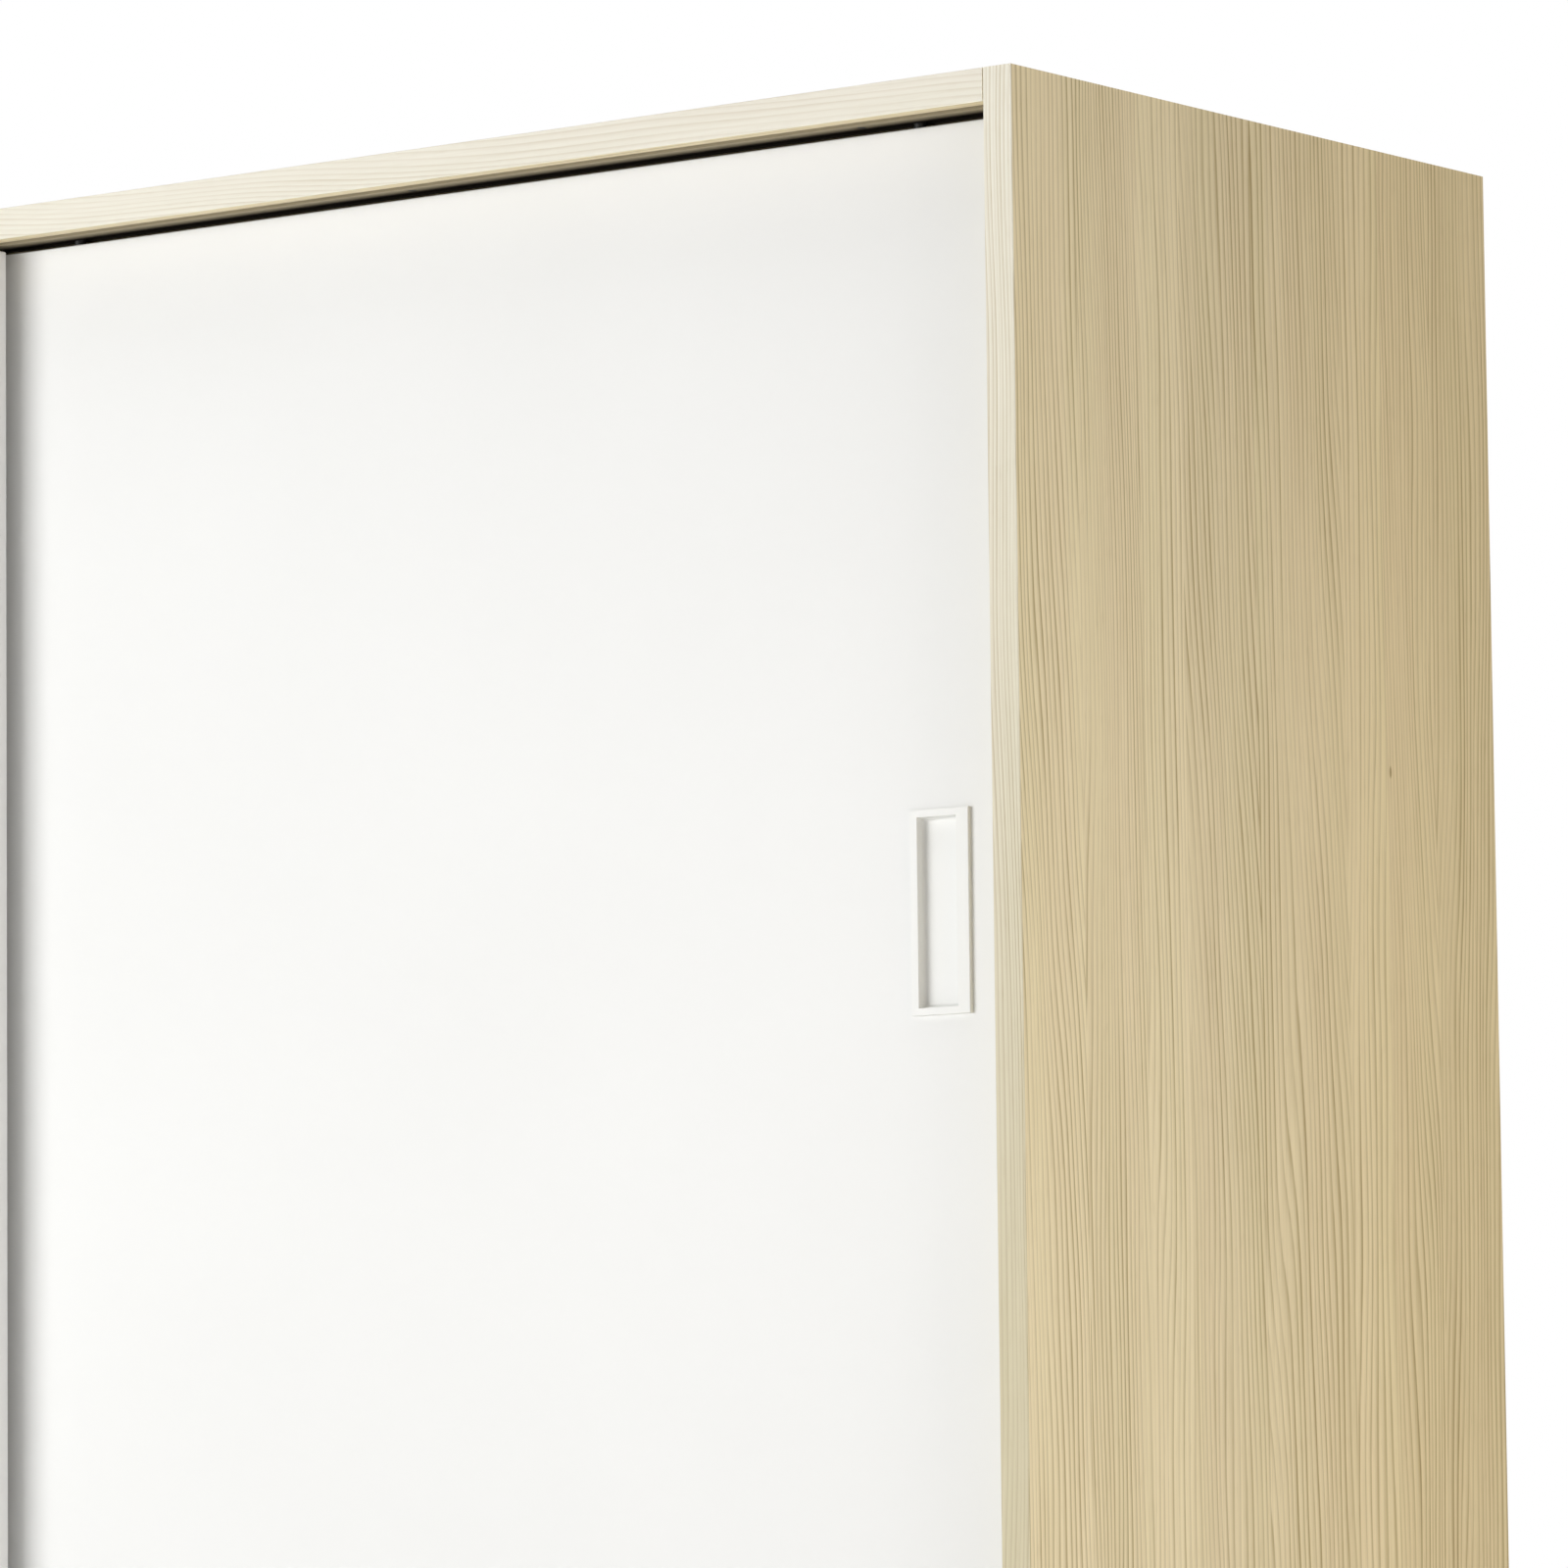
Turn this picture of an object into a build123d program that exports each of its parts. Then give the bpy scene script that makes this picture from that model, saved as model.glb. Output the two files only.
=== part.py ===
from build123d import *
import os

# Sliding door wardrobe. Millimetres, +Z up. The origin is on the floor, in the middle of the footprint.
# The doors are at the front, towards -Y. The left door runs in front of the right one.

# Overall sizes
overall_width = 1810
overall_depth = 570
overall_height = 2010

# Boards
board = 22
inner_board = 18
back_board = 3
edging = 1
back_rebate_depth = 4
back_rebate_width = 10
plinth_height = 60
plinth_setback = 20
glide_height = 4
glide_radius = 8.5
glide_inset = 60
nail_radius = 1.25
nail_length = 15

# Doors
door_thickness = 18
door_setback = 8
door_spacing = 9
door_overlap = 26
door_side_gap = 2
door_top_gap = 4
door_bottom_gap = 7
door_arris = 1

# Flush pulls
pull_width = 47
pull_height = 134
pull_proud = 3
pull_edge_distance = 40
pull_grip_flange = 10
pull_far_flange = 6
pull_end_flange = 5
pull_pocket_depth = 7
pull_wall = 1.5
pull_height_on_door = 1375
pull_boss_radius = 4
pull_boss_length = 5
pull_boss_spacing = 80
pull_arris = 0.4
pull_screw_grip = 3.5

# Tracks
rail_width = 2.5
rail_height = 4
rail_rounding = 0.5
track_plate = 1.5
rail_side_clearance = 0.5
bottom_track_margin = 9
channel_clearance = 0.5
channel_depth = 6.5
track_end_gap = 0.5
track_bridge = 2
track_screw_inset = 120
track_screw_count = 5
track_screw_hold = 10
bottom_track_screw_length = 16

# Door wheels
wheel_tread_radius = 9
wheel_flange_radius = 11.5
wheel_width = 7
wheel_edge = 0.5
wheel_rail_gap = 0.2
wheel_room = 1.5
axle_radius = 2
running_fit = 0.05
fitting_inset = 80
fitting_length = 56
fitting_width = 12
fitting_height = 24
fitting_wall = 1.5
fitting_screw_spacing = 42
fitting_screw_length = 32

# Door guide pins
pin_radius = 4
pin_collar_radius = 5
pin_collar_height = 3
pin_spigot_radius = 2
pin_spigot_length = 4
pin_entry = 5
pin_fit = 0.08
pin_stop_gap = 0.3
pin_rounding = 1.2
spring_radius = 3.4
spring_wire_radius = 0.5
spring_turns = 6
spring_end_gap = 0.1

# Interior
partition_setback = 5
shelf_setback = 12
shelf_side_gap = 1
shelf_count = 4
hat_shelf_drop = 300
shelf_pin_radius = 2.5
shelf_pin_length = 16
shelf_pin_depth = 8
shelf_pin_inset = 50
shelf_pin_pitch = 32
rail_radius = 12.5
rail_tube_wall = 1.2
clothes_rail_drop = 60
socket_radius = 17
socket_depth = 10
socket_base = 2.5
rail_fit = 0.25
socket_screw_spacing = 13.5
socket_screw_length = 12

# Knock-down fittings
cam_radius = 7.5
cam_height = 12.5
cam_distance = 24
cam_bolt_radius = 3
cam_bolt_hole_radius = 4
cam_bolt_depth = 11
dowel_radius = 4
dowel_depth_in_side = 12
dowel_depth_in_edge = 23
cam_front_inset = 95
cam_rear_inset = 65
dowel_front_inset = 135
dowel_rear_inset = 105

# Screws, wall brackets and buffers
screw_radius = 1.5
screw_head_radius = 3
screw_head_height = 1.7
bracket_width = 30
bracket_leg = 34
bracket_thickness = 2
bracket_spacing = 1400
bracket_screw_edge = 10
bracket_screw_pitch = 16
bracket_screw_length = 14
bracket_hole_radius = 2.75
bracket_hole_drop = 20
buffer_radius = 4
buffer_thickness = 1.5
buffer_end_distance = 150
back_nail_radius = 0.8
back_nail_length = 15
back_nail_head_radius = 1.8
back_nail_head_height = 0.5
back_nail_spacing = 180
back_nail_edge_inset = 60
back_nail_columns = 5
back_nail_end_inset = 90
back_nail_rows = 11
back_sheet_gap = 1

# Planes worked out from the sizes above
front = -overall_depth / 2
rear = overall_depth / 2
cam_front = front + cam_front_inset
cam_rear = rear - cam_rear_inset
cam_y_positions = (cam_front, (cam_front + cam_rear) / 2, cam_rear)
dowel_y_positions = (front + dowel_front_inset, rear - dowel_rear_inset)
core_front = front + edging
board_rear = rear - back_rebate_depth
inner_side = overall_width / 2 - board
plinth_top = glide_height + plinth_height
floor_top = plinth_top + board
roof_under = overall_height - board
partition_side = inner_board / 2

door_width = (2 * inner_side + door_overlap) / 2 - door_side_gap
door_height = roof_under - door_top_gap - floor_top - door_bottom_gap
door_bottom = floor_top + door_bottom_gap
door_top = door_bottom + door_height
left_door_face = front + door_setback
right_door_face = left_door_face + door_thickness + door_spacing
left_door_x = -inner_side + door_side_gap + door_width / 2
right_door_x = inner_side - door_side_gap - door_width / 2
door_planes = (left_door_face + door_thickness / 2, right_door_face + door_thickness / 2)
middle_plane = (door_planes[0] + door_planes[1]) / 2
doors_rear = right_door_face + door_thickness

partition_front = doors_rear + partition_setback
shelf_front = partition_front + shelf_setback
bay_width = inner_side - partition_side
shelf_width = bay_width - 2 * shelf_side_gap
hat_shelf_top = roof_under - hat_shelf_drop
clothes_rail_z = hat_shelf_top - inner_board - clothes_rail_drop
bay_centres = (-(partition_side + bay_width / 2), partition_side + bay_width / 2)

channel_width = 2 * (pin_radius + channel_clearance)
track_height = channel_depth + track_plate
top_track_front = door_planes[0] - channel_width / 2 - track_plate
top_track_rear = door_planes[1] + channel_width / 2 + track_plate
rail_top = floor_top + track_plate + rail_height
axle_z = rail_top + wheel_rail_gap + wheel_tread_radius
pin_travel = door_top_gap + pin_entry


def block(x_range, y_range, z_range):
    """A rectangular piece between two limits on each axis."""
    size = [high - low for low, high in (x_range, y_range, z_range)]
    middle = [(low + high) / 2 for low, high in (x_range, y_range, z_range)]
    return Pos(*middle) * Box(*size)


def rod(start, direction, radius, length):
    """A round bar from a start point along a direction."""
    return Plane(origin=start, z_dir=direction) * Cylinder(
        radius, length, align=(Align.CENTER, Align.CENTER, Align.MIN)
    )


def countersunk_screw(head_centre, direction, length):
    """A screw whose flat head lies at head_centre and whose shank points along direction."""
    place = Plane(origin=head_centre, z_dir=direction)
    outline = Polyline(
        (0, 0),
        (screw_head_radius, 0),
        (screw_radius, screw_head_height),
        (screw_radius, length),
        (0, length),
        close=True,
    )
    return place * revolve(Plane.XZ * make_face(outline), Axis.Z)


def spread(first, last, count):
    """Evenly spaced values from first to last."""
    return [first + (last - first) * step / (count - 1) for step in range(count)]


def group(solids):
    """Separate solids that share one node."""
    return Compound(children=list(solids))


# Knock-down fittings: each joint has a cam in the lying board, its bolt in the upright one, and dowels

def side_joints():
    """Every end of the top and bottom boards, as (the side's inner face x, outward sign, board middle z)."""
    middles = (floor_top - board / 2, roof_under + board / 2)
    return [(sign * inner_side, sign, z) for sign in (-1, 1) for z in middles]


def cam_bolt(x, y, z, sign):
    """A bolt screwed into the side board, whose head reaches the middle of the cam."""
    start = (x + sign * cam_bolt_depth, y, z)
    return rod(start, (-sign, 0, 0), cam_bolt_radius, cam_bolt_depth + cam_distance)


def cam_lock(x, y, z, sign, face_z):
    """A cam let into the lying board's inner face, hollow where the bolt's head enters."""
    cam = rod((x - sign * cam_distance, y, face_z), (0, 0, 1), cam_radius, cam_height)
    entry = rod((x - sign * cam_distance, y, z), (sign, 0, 0), cam_bolt_hole_radius, cam_distance)
    return cam - entry


def dowel(x, y, z, sign):
    """A wood dowel across the joint."""
    start = (x + sign * dowel_depth_in_side, y, z)
    return rod(start, (-sign, 0, 0), dowel_radius, dowel_depth_in_side + dowel_depth_in_edge)


def partition_joints():
    """The partition's lower and upper ends, as (the board's face z, outward sign)."""
    return [(floor_top, -1), (roof_under, 1)]


def partition_dowels():
    """Dowels that stand in the partition's ends."""
    return [
        rod((0, y, z + sign * dowel_depth_in_side), (0, 0, -sign), dowel_radius,
            dowel_depth_in_side + dowel_depth_in_edge)
        for z, sign in partition_joints()
        for y in dowel_y_positions
    ]


def all_cam_locks():
    locks = []
    for x, sign, z in side_joints():
        is_top = z > overall_height / 2
        face_z = roof_under if is_top else plinth_top
        for y in cam_y_positions:
            locks.append(cam_lock(x, y, z, sign, face_z))
    return locks


def all_cam_bolts():
    return [cam_bolt(x, y, z, sign) for x, sign, z in side_joints() for y in cam_y_positions]


def all_side_dowels():
    return [dowel(x, y, z, sign) for x, sign, z in side_joints() for y in dowel_y_positions]


# Fasteners and small fittings of the carcase

def track_screw_places():
    return spread(-inner_side + track_screw_inset, inner_side - track_screw_inset, track_screw_count)


def top_track_screws():
    """Screws through the bridge between the two guide channels, up into the top board."""
    length = track_height + track_screw_hold
    return [countersunk_screw((x, middle_plane, roof_under), (0, 0, 1), length) for x in track_screw_places()]


def bottom_track_screws():
    """Screws down through the plate between the two rails."""
    start = (middle_plane, floor_top + track_plate)
    length = bottom_track_screw_length
    return [countersunk_screw((x, *start), (0, 0, -1), length) for x in track_screw_places()]


def shelf_tops():
    """Upper faces of the shelves in the right bay, evenly spaced."""
    pitch = (roof_under - floor_top) / (shelf_count + 1)
    return [floor_top + pitch * (n + 1) + inner_board / 2 for n in range(shelf_count)]


def shelf_pin_y():
    """The two pin lines, front and rear, shared by every shelf."""
    return (shelf_front + shelf_pin_inset, board_rear - shelf_pin_inset)


def pin_points(bay, shelf_top):
    """The four pin positions below one shelf, as (face x, sign into the board, y, z)."""
    inner, outer = partition_side, inner_side
    faces = ((inner, -1), (outer, 1)) if bay == 1 else ((-inner, 1), (-outer, -1))
    z = shelf_top - inner_board - shelf_pin_radius
    return [(x, sign, y, z) for x, sign in faces for y in shelf_pin_y()]


def pin_hole(x, sign, y, z):
    return rod((x, y, z), (sign, 0, 0), shelf_pin_radius, shelf_pin_depth)


def shelf_pins():
    """Steel pins, half in the board and half below the shelf."""
    places = [(0, hat_shelf_top)] + [(1, top) for top in shelf_tops()]
    return [
        rod((x + sign * shelf_pin_depth, y, z), (-sign, 0, 0), shelf_pin_radius, shelf_pin_length)
        for bay, top in places
        for x, sign, y, z in pin_points(bay, top)
    ]


def shelf_pin_holes(board_x_sign):
    """Drilled holes in a side board (-1 or 1) or in the partition (0), with one spare above and below."""
    holes = []
    for bay, top in [(0, hat_shelf_top)] + [(1, top) for top in shelf_tops()]:
        for x, sign, y, z in pin_points(bay, top):
            in_partition = abs(x) < inner_side
            if in_partition != (board_x_sign == 0) or (not in_partition and x * board_x_sign < 0):
                continue
            for step in (-1, 0, 1):
                holes.append(pin_hole(x, sign, y, z + step * shelf_pin_pitch))
    return holes


def clothes_rail_y():
    return (partition_front + board_rear) / 2


def rail_ends():
    """Both ends of the clothes rail, as (face x, sign into the board)."""
    return [(-inner_side, -1), (-partition_side, 1)]


def rail_socket_screws():
    """Two screws through each socket's base, one above and one below the rail."""
    screws = []
    for x, sign in rail_ends():
        for dz in (-socket_screw_spacing / 2, socket_screw_spacing / 2):
            head = (x - sign * socket_base, clothes_rail_y(), clothes_rail_z + dz)
            screws.append(countersunk_screw(head, (sign, 0, 0), socket_screw_length))
    return screws


def bracket_screws():
    """Screws that hold the wall brackets up into the top board."""
    y = board_rear - bracket_leg + bracket_screw_edge
    z = roof_under - bracket_thickness
    half_pitch = bracket_screw_pitch / 2
    places = [side * bracket_spacing / 2 + dx for side in (-1, 1) for dx in (-half_pitch, half_pitch)]
    return [countersunk_screw((x, y, z), (0, 0, 1), bracket_screw_length) for x in places]


def wall_hole(x):
    """The hole for a wall screw, through a bracket and the back board behind it."""
    z = roof_under - bracket_hole_drop
    depth = bracket_thickness + back_board
    return rod((x, board_rear - bracket_thickness, z), (0, 1, 0), bracket_hole_radius, depth)


def wall_holes():
    return [wall_hole(side * bracket_spacing / 2) for side in (-1, 1)]


def wall_brackets():
    """Steel angles under the top board, against the back board."""
    brackets = []
    for side in (-1, 1):
        x = side * bracket_spacing / 2
        width = (x - bracket_width / 2, x + bracket_width / 2)
        flat = block(width, (board_rear - bracket_leg, board_rear),
                     (roof_under - bracket_thickness, roof_under))
        drop = block(width, (board_rear - bracket_thickness, board_rear),
                     (roof_under - bracket_leg, roof_under))
        angle = flat + drop
        brackets.append(angle - bracket_screws() - wall_holes())
    return brackets


def glide_places():
    """Where the glides stand: under both side boards and under the middle of the plinth boards."""
    side_x = overall_width / 2 - board / 2
    ends = (core_front + glide_inset, rear - glide_inset)
    places = [(sign * side_x, y) for sign in (-1, 1) for y in ends]
    places += [(0, plinth_front_y() + inner_board / 2), (0, plinth_rear_y() + inner_board / 2)]
    return places


def plinth_front_y():
    return core_front + plinth_setback


def plinth_rear_y():
    return board_rear - plinth_setback - inner_board


def glide_feet():
    """Plastic glides with a nail driven up into the board."""
    return [
        rod((x, y, 0), (0, 0, 1), glide_radius, glide_height)
        + rod((x, y, glide_height), (0, 0, 1), nail_radius, nail_length)
        for x, y in glide_places()
    ]


def glide_nail_holes():
    return [rod((x, y, glide_height), (0, 0, 1), nail_radius, nail_length) for x, y in glide_places()]


def door_buffers():
    """Soft stops on the side boards' inner faces, in each door's plane."""
    return [
        rod((sign * inner_side, y, z), (-sign, 0, 0), buffer_radius, buffer_thickness)
        for sign in (-1, 1)
        for y in door_planes
        for z in (door_bottom + buffer_end_distance, door_top - buffer_end_distance)
    ]


# Boards of the carcase

def side_panel(sign):
    """A side board with its rear rebate and the holes of its fittings."""
    outer = sign * overall_width / 2
    inner = sign * inner_side
    panel = block(sorted((outer, inner)), (core_front, rear), (glide_height, overall_height))
    rebate = block(sorted((inner, inner + sign * back_rebate_width)), (board_rear, rear),
                   (glide_height, overall_height))
    joints = [(x, s, z) for x, s, z in side_joints() if s == sign]
    cuts = [rebate]
    cuts += [cam_bolt(x, y, z, s) for x, s, z in joints for y in cam_y_positions]
    cuts += [dowel(x, y, z, s) for x, s, z in joints for y in dowel_y_positions]
    cuts += shelf_pin_holes(sign)
    cuts += glide_nail_holes()
    cuts += back_nails()
    if sign < 0:
        cuts += rail_socket_screws()
    return panel - cuts


def lying_board(z_range, face_z):
    """The top or bottom board between the sides, drilled for its cams, bolts and dowels."""
    panel = block((-inner_side, inner_side), (core_front, board_rear), z_range)
    middle = sum(z_range) / 2
    cuts = partition_dowels() + back_nails()
    for x, sign, z in side_joints():
        if abs(z - middle) > 1:
            continue
        for y in cam_y_positions:
            cam_x = x - sign * cam_distance
            cuts.append(rod((cam_x, y, face_z), (0, 0, 1), cam_radius, cam_height))
            cuts.append(rod((x, y, z), (-sign, 0, 0), cam_bolt_hole_radius, cam_distance))
        cuts += [dowel(x, y, z, sign) for y in dowel_y_positions]
    return panel - cuts


def top_panel():
    """The top board, rebated below for the guide channels."""
    rebate = block((-inner_side, inner_side), (top_track_front, top_track_rear),
                   (roof_under, roof_under + track_height))
    screws = top_track_screws() + bracket_screws()
    return lying_board((roof_under, overall_height), roof_under) - rebate - screws


def bottom_panel():
    """The bottom board, which carries the rails."""
    return lying_board((plinth_top, floor_top), plinth_top) - bottom_track_screws()


def carcase_edge_bands():
    """Edging on the front edges of the sides, the top and the bottom."""
    bands = []
    for sign in (-1, 1):
        x_range = sorted((sign * overall_width / 2, sign * inner_side))
        bands.append(block(x_range, (front, core_front), (glide_height, overall_height)))
    for z_range in ((plinth_top, floor_top), (roof_under, overall_height)):
        bands.append(block((-inner_side, inner_side), (front, core_front), z_range))
    return bands


def centre_partition():
    """The upright board between the two bays."""
    panel = block((-partition_side, partition_side), (partition_front + edging, board_rear),
                  (floor_top, roof_under))
    return panel - partition_dowels() - shelf_pin_holes(0) - rail_socket_screws() - back_nails()


def shelf(bay, top):
    """A loose shelf that lies on four pins."""
    x = bay_centres[bay]
    return block((x - shelf_width / 2, x + shelf_width / 2), (shelf_front + edging, board_rear),
                 (top - inner_board, top))


def interior_edge_bands():
    """Edging on the front edges of the partition and the shelves."""
    bands = [block((-partition_side, partition_side), (partition_front, partition_front + edging),
                   (floor_top, roof_under))]
    for bay, top in [(0, hat_shelf_top)] + [(1, top) for top in shelf_tops()]:
        x = bay_centres[bay]
        bands.append(block((x - shelf_width / 2, x + shelf_width / 2), (shelf_front, shelf_front + edging),
                           (top - inner_board, top)))
    return bands


def plinth_board(y):
    """An upright board under the bottom panel."""
    plinth = block((-inner_side, inner_side), (y, y + inner_board), (glide_height, plinth_top))
    return plinth - glide_nail_holes()


def back_panel(sign):
    """A hardboard sheet that covers one bay from behind."""
    x_range = sorted((sign * back_sheet_gap / 2, sign * (inner_side + back_rebate_width)))
    sheet = block(x_range, (board_rear, board_rear + back_board), (plinth_top, overall_height))
    return sheet - wall_holes() - back_nails()


def back_nails():
    """Flat-headed nails around each back sheet and down the partition."""
    nails = []
    z_values = spread(plinth_top + back_nail_end_inset, overall_height - back_nail_end_inset, back_nail_rows)
    edge_x = inner_side + back_rebate_width / 2
    line_x = (partition_side + back_sheet_gap / 2) / 2
    x_values = spread(back_nail_spacing / 2, inner_side - back_nail_edge_inset, back_nail_columns)
    for x in (-edge_x, -line_x, line_x, edge_x):
        nails += [back_nail(x, z) for z in z_values]
    for z in (plinth_top + board / 2, overall_height - board / 2):
        for sign in (-1, 1):
            nails += [back_nail(sign * x, z) for x in x_values]
    return nails


def back_nail(x, z):
    outline = Polyline(
        (0, 0),
        (back_nail_head_radius, 0),
        (back_nail_head_radius, back_nail_head_height),
        (back_nail_radius, back_nail_head_height),
        (back_nail_radius, back_nail_length),
        (0, back_nail_length),
        close=True,
    )
    place = Plane(origin=(x, board_rear + back_board, z), z_dir=(0, -1, 0))
    return place * revolve(Plane.XZ * make_face(outline), Axis.Z)


# Clothes rail

def clothes_rail():
    """A round steel tube between the two sockets."""
    ends = [x - sign * (socket_base + rail_fit) for x, sign in rail_ends()]
    length = ends[1] - ends[0]
    start = (ends[0], clothes_rail_y(), clothes_rail_z)
    bore = rail_radius - rail_tube_wall
    return rod(start, (1, 0, 0), rail_radius, length) - rod(start, (1, 0, 0), bore, length)


def rail_sockets():
    """Cups screwed to the side board and the partition, which hold the rail's ends."""
    sockets = []
    for x, sign in rail_ends():
        centre = (x, clothes_rail_y(), clothes_rail_z)
        cup = rod(centre, (-sign, 0, 0), socket_radius, socket_depth)
        seat_start = (x - sign * socket_base, clothes_rail_y(), clothes_rail_z)
        seat = rod(seat_start, (-sign, 0, 0), rail_radius + rail_fit, socket_depth)
        sockets.append(cup - seat - rail_socket_screws())
    return sockets


# Tracks

def top_track():
    """A double guide channel, open below, let in flush with the top board's underside."""
    length = (-inner_side + track_end_gap, inner_side - track_end_gap)
    profile = block(length, (top_track_front, top_track_rear), (roof_under, roof_under + track_height))
    cuts = [
        block(length, (y - channel_width / 2, y + channel_width / 2),
              (roof_under, roof_under + channel_depth))
        for y in door_planes
    ]
    bridge_front = door_planes[0] + channel_width / 2 + track_plate
    bridge_rear = door_planes[1] - channel_width / 2 - track_plate
    cuts.append(block(length, (bridge_front, bridge_rear),
                      (roof_under + track_bridge, roof_under + track_height)))
    return profile - cuts - top_track_screws()


def bottom_track():
    """A plate with one rail under each door."""
    length = (-inner_side + track_end_gap, inner_side - track_end_gap)
    y_range = (door_planes[0] - bottom_track_margin, door_planes[1] + bottom_track_margin)
    plate = block(length, y_range, (floor_top, floor_top + track_plate))
    for y in door_planes:
        rail = block(length, (y - rail_width / 2, y + rail_width / 2), (floor_top, rail_top))
        long_edges = rail.edges().filter_by(Axis.X).group_by(Axis.Z)[-1]
        plate += fillet(long_edges, rail_rounding)
    return plate - bottom_track_screws()


# Doors. Each door function takes the door's middle x, the y of its front face and the side of its pull.

def pull_centre_x(door_x, pull_side):
    return door_x + pull_side * (door_width / 2 - pull_edge_distance - pull_width / 2)


def pull_pocket_range(door_x, pull_side):
    """The pocket's two x limits: the flange to grip is the wider one, towards the door's edge."""
    centre = pull_centre_x(door_x, pull_side)
    outer = centre + pull_side * (pull_width / 2 - pull_grip_flange)
    inner = centre - pull_side * (pull_width / 2 - pull_far_flange)
    return sorted((inner, outer))


def pull_middle_z():
    return door_bottom + pull_height_on_door


def pull_shell(door_x, face_y, pull_side):
    """The pull's outer form that is let into the door: its box and its two screw bosses."""
    x_low, x_high = pull_pocket_range(door_x, pull_side)
    half = pull_height / 2 - pull_end_flange + pull_wall
    z = pull_middle_z()
    box_rear = face_y - pull_proud + pull_pocket_depth + pull_wall
    shell = block((x_low - pull_wall, x_high + pull_wall), (face_y, box_rear), (z - half, z + half))
    for boss_z in (z - pull_boss_spacing / 2, z + pull_boss_spacing / 2):
        shell += rod(((x_low + x_high) / 2, box_rear, boss_z), (0, 1, 0), pull_boss_radius, pull_boss_length)
    return shell


def pull_screws(door_x, face_y, pull_side):
    """Two screws from the door's rear face into the pull's bosses."""
    x_low, x_high = pull_pocket_range(door_x, pull_side)
    rear_y = face_y + door_thickness
    boss_end = face_y - pull_proud + pull_pocket_depth + pull_wall + pull_boss_length
    length = rear_y - boss_end + pull_screw_grip
    z = pull_middle_z()
    return [
        countersunk_screw(((x_low + x_high) / 2, rear_y, z + dz), (0, -1, 0), length)
        for dz in (-pull_boss_spacing / 2, pull_boss_spacing / 2)
    ]


def pull(door_x, face_y, pull_side):
    """A moulded flush pull: a plate that stands proud of the door, with a pocket for the fingers."""
    centre = pull_centre_x(door_x, pull_side)
    z = pull_middle_z()
    plate = block((centre - pull_width / 2, centre + pull_width / 2), (face_y - pull_proud, face_y),
                  (z - pull_height / 2, z + pull_height / 2))
    plate = chamfer(plate.faces().sort_by(Axis.Y)[0].edges(), pull_arris)
    half = pull_height / 2 - pull_end_flange
    pocket = block(pull_pocket_range(door_x, pull_side),
                   (face_y - pull_proud, face_y - pull_proud + pull_pocket_depth), (z - half, z + half))
    return plate + pull_shell(door_x, face_y, pull_side) - pocket - pull_screws(door_x, face_y, pull_side)


def fitting_places(door_x):
    """The x of the two bottom and two top fittings."""
    return [door_x + sign * (door_width / 2 - fitting_inset) for sign in (-1, 1)]


def fitting_block(x, plane_y, z_low):
    return block((x - fitting_length / 2, x + fitting_length / 2),
                 (plane_y - fitting_width / 2, plane_y + fitting_width / 2), (z_low, z_low + fitting_height))


def fitting_screws(door_x, plane_y):
    """Screws through both ends of the four housings, into the door's edges."""
    screws = []
    for x in fitting_places(door_x):
        for dx in (-fitting_screw_spacing / 2, fitting_screw_spacing / 2):
            for z, direction in ((door_bottom, 1), (door_top, -1)):
                head = (x + dx, plane_y, z)
                screws.append(countersunk_screw(head, (0, 0, direction), fitting_screw_length))
    return screws


def roller_axles(door_x, plane_y):
    """Steel pins across the roller housings."""
    start_y = plane_y - fitting_width / 2
    return [
        rod((x, start_y, axle_z), (0, 1, 0), axle_radius, fitting_width) for x in fitting_places(door_x)
    ]


def roller_housings(door_x, plane_y):
    """Housings let into the door's bottom edge, open below for the wheels."""
    housings = []
    room = wheel_flange_radius + wheel_room
    inside = fitting_width / 2 - fitting_wall
    for x in fitting_places(door_x):
        housing = fitting_block(x, plane_y, door_bottom)
        wheel_space = block((x - room, x + room), (plane_y - inside, plane_y + inside),
                            (door_bottom, axle_z + room))
        pins = roller_axles(door_x, plane_y) + fitting_screws(door_x, plane_y)
        housings.append(housing - wheel_space - pins)
    return housings


def guide_cavity(x, plane_y):
    """The stepped bore in which a guide pin slides."""
    low = door_top - fitting_height + fitting_wall
    high = door_top - fitting_wall
    wide = rod((x, plane_y, low), (0, 0, 1), pin_collar_radius + pin_fit, high - low)
    return wide + rod((x, plane_y, high), (0, 0, 1), pin_radius + pin_fit, fitting_wall)


def guide_housings(door_x, plane_y):
    """Housings let into the door's top edge, bored for the guide pins."""
    screws = fitting_screws(door_x, plane_y)
    return [
        fitting_block(x, plane_y, door_top - fitting_height) - guide_cavity(x, plane_y) - screws
        for x in fitting_places(door_x)
    ]


def guide_collar_top():
    return door_top - fitting_wall - pin_stop_gap


def guide_pin(x, plane_y):
    """A round pin that runs in the guide channel, with a collar that keeps it in its housing."""
    collar_top = guide_collar_top()
    collar_bottom = collar_top - pin_collar_height
    shaft = rod((x, plane_y, collar_top), (0, 0, 1), pin_radius, door_top + pin_travel - collar_top)
    shaft = fillet(shaft.edges().group_by(Axis.Z)[-1], pin_rounding)
    collar = rod((x, plane_y, collar_bottom), (0, 0, 1), pin_collar_radius, pin_collar_height)
    spigot_start = (x, plane_y, collar_bottom - pin_spigot_length)
    spigot = rod(spigot_start, (0, 0, 1), pin_spigot_radius, pin_spigot_length)
    return shaft + collar + spigot


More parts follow.
